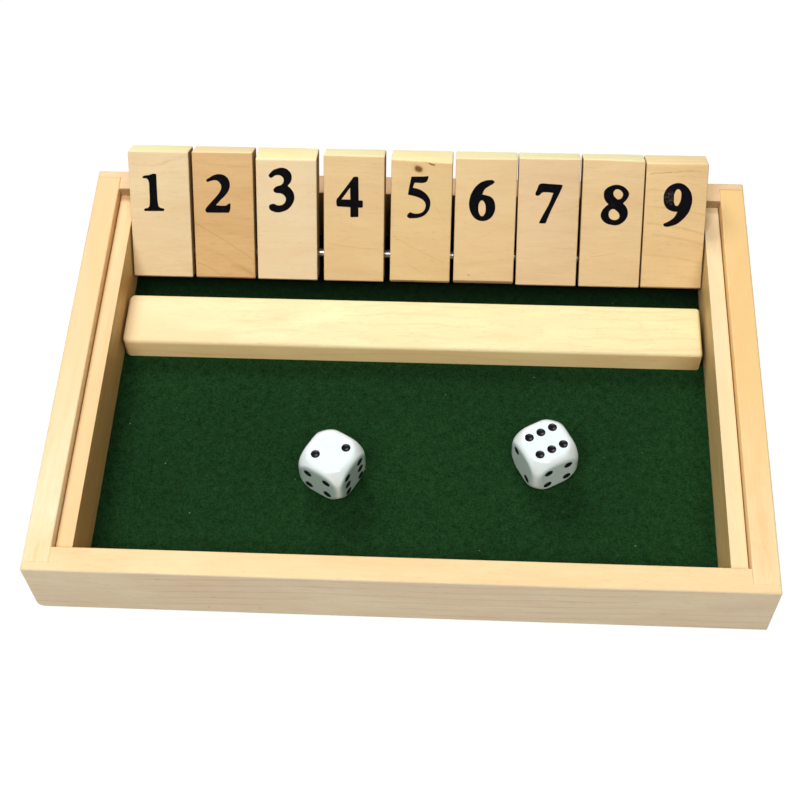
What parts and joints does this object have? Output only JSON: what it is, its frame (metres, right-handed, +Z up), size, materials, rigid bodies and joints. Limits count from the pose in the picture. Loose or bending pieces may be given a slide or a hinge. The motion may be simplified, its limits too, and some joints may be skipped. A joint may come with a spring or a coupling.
{
  "type": "shut the box game",
  "caption": "Shallow wooden tray with numbered flaps on a rod along its back, a divider bar, a green felt floor and two dice.",
  "frame": {"origin": "middle of the tray's underside, on the face it stands on", "axes": "+X to the right along the long walls, +Y towards the flaps at the back, +Z up"},
  "size_m": [0.22, 0.153, 0.0425],
  "materials": {
    "wall_wood": "pale sanded wood with a thin satin lacquer",
    "liner_wood": "pale sanded wood, slightly pinker",
    "board_wood": "thin plywood, raw",
    "bar_wood": "pale sanded wood with fine grain lines",
    "flap_wood": "pale sanded wood, printed black numerals",
    "felt": "bottle green felt",
    "steel": "plain drawn wire",
    "die_plastic": "glossy white with black pips"
  },
  "bodies": {
    "case": {"front_wall": "wall_wood", "back_wall": "wall_wood", "left_wall": "wall_wood", "right_wall": "wall_wood", "base_board": "board_wood", "felt": "felt", "left_liner": "liner_wood", "right_liner": "liner_wood", "divider_bar": "bar_wood", "hinge_rod": "steel"},
    "flap_1": {"flap_1": "flap_wood"},
    "flap_2": {"flap_2": "flap_wood"},
    "flap_3": {"flap_3": "flap_wood"},
    "flap_4": {"flap_4": "flap_wood"},
    "flap_5": {"flap_5": "flap_wood"},
    "flap_6": {"flap_6": "flap_wood"},
    "flap_7": {"flap_7": "flap_wood"},
    "flap_8": {"flap_8": "flap_wood"},
    "flap_9": {"flap_9": "flap_wood"},
    "die_1": {"die_1": "die_plastic"},
    "die_2": {"die_2": "die_plastic"}
  },
  "joints": [
    {"name": "flap_1_hinge", "type": "hinge", "parent": "case", "child": "flap_1", "pos_m": [0, 0.0528, 0.0123], "axis": [1, 0, 0], "range_deg": [0, 116]},
    {"name": "flap_2_hinge", "type": "hinge", "parent": "case", "child": "flap_2", "pos_m": [0, 0.0528, 0.0123], "axis": [1, 0, 0], "range_deg": [0, 116]},
    {"name": "flap_3_hinge", "type": "hinge", "parent": "case", "child": "flap_3", "pos_m": [0, 0.0528, 0.0123], "axis": [1, 0, 0], "range_deg": [0, 116]},
    {"name": "flap_4_hinge", "type": "hinge", "parent": "case", "child": "flap_4", "pos_m": [0, 0.0528, 0.0123], "axis": [1, 0, 0], "range_deg": [0, 116]},
    {"name": "flap_5_hinge", "type": "hinge", "parent": "case", "child": "flap_5", "pos_m": [0, 0.0528, 0.0123], "axis": [1, 0, 0], "range_deg": [0, 116]},
    {"name": "flap_6_hinge", "type": "hinge", "parent": "case", "child": "flap_6", "pos_m": [0, 0.0528, 0.0123], "axis": [1, 0, 0], "range_deg": [0, 116]},
    {"name": "flap_7_hinge", "type": "hinge", "parent": "case", "child": "flap_7", "pos_m": [0, 0.0528, 0.0123], "axis": [1, 0, 0], "range_deg": [0, 116]},
    {"name": "flap_8_hinge", "type": "hinge", "parent": "case", "child": "flap_8", "pos_m": [0, 0.0528, 0.0123], "axis": [1, 0, 0], "range_deg": [0, 116]},
    {"name": "flap_9_hinge", "type": "hinge", "parent": "case", "child": "flap_9", "pos_m": [0, 0.0528, 0.0123], "axis": [1, 0, 0], "range_deg": [0, 116]},
    {"name": "die_1_lift", "type": "slide", "parent": "case", "child": "die_1", "axis": [0, 0, 1], "range_m": [0, 0.06]},
    {"name": "die_2_lift", "type": "slide", "parent": "case", "child": "die_2", "axis": [0, 0, 1], "range_m": [0, 0.06]}
  ]
}
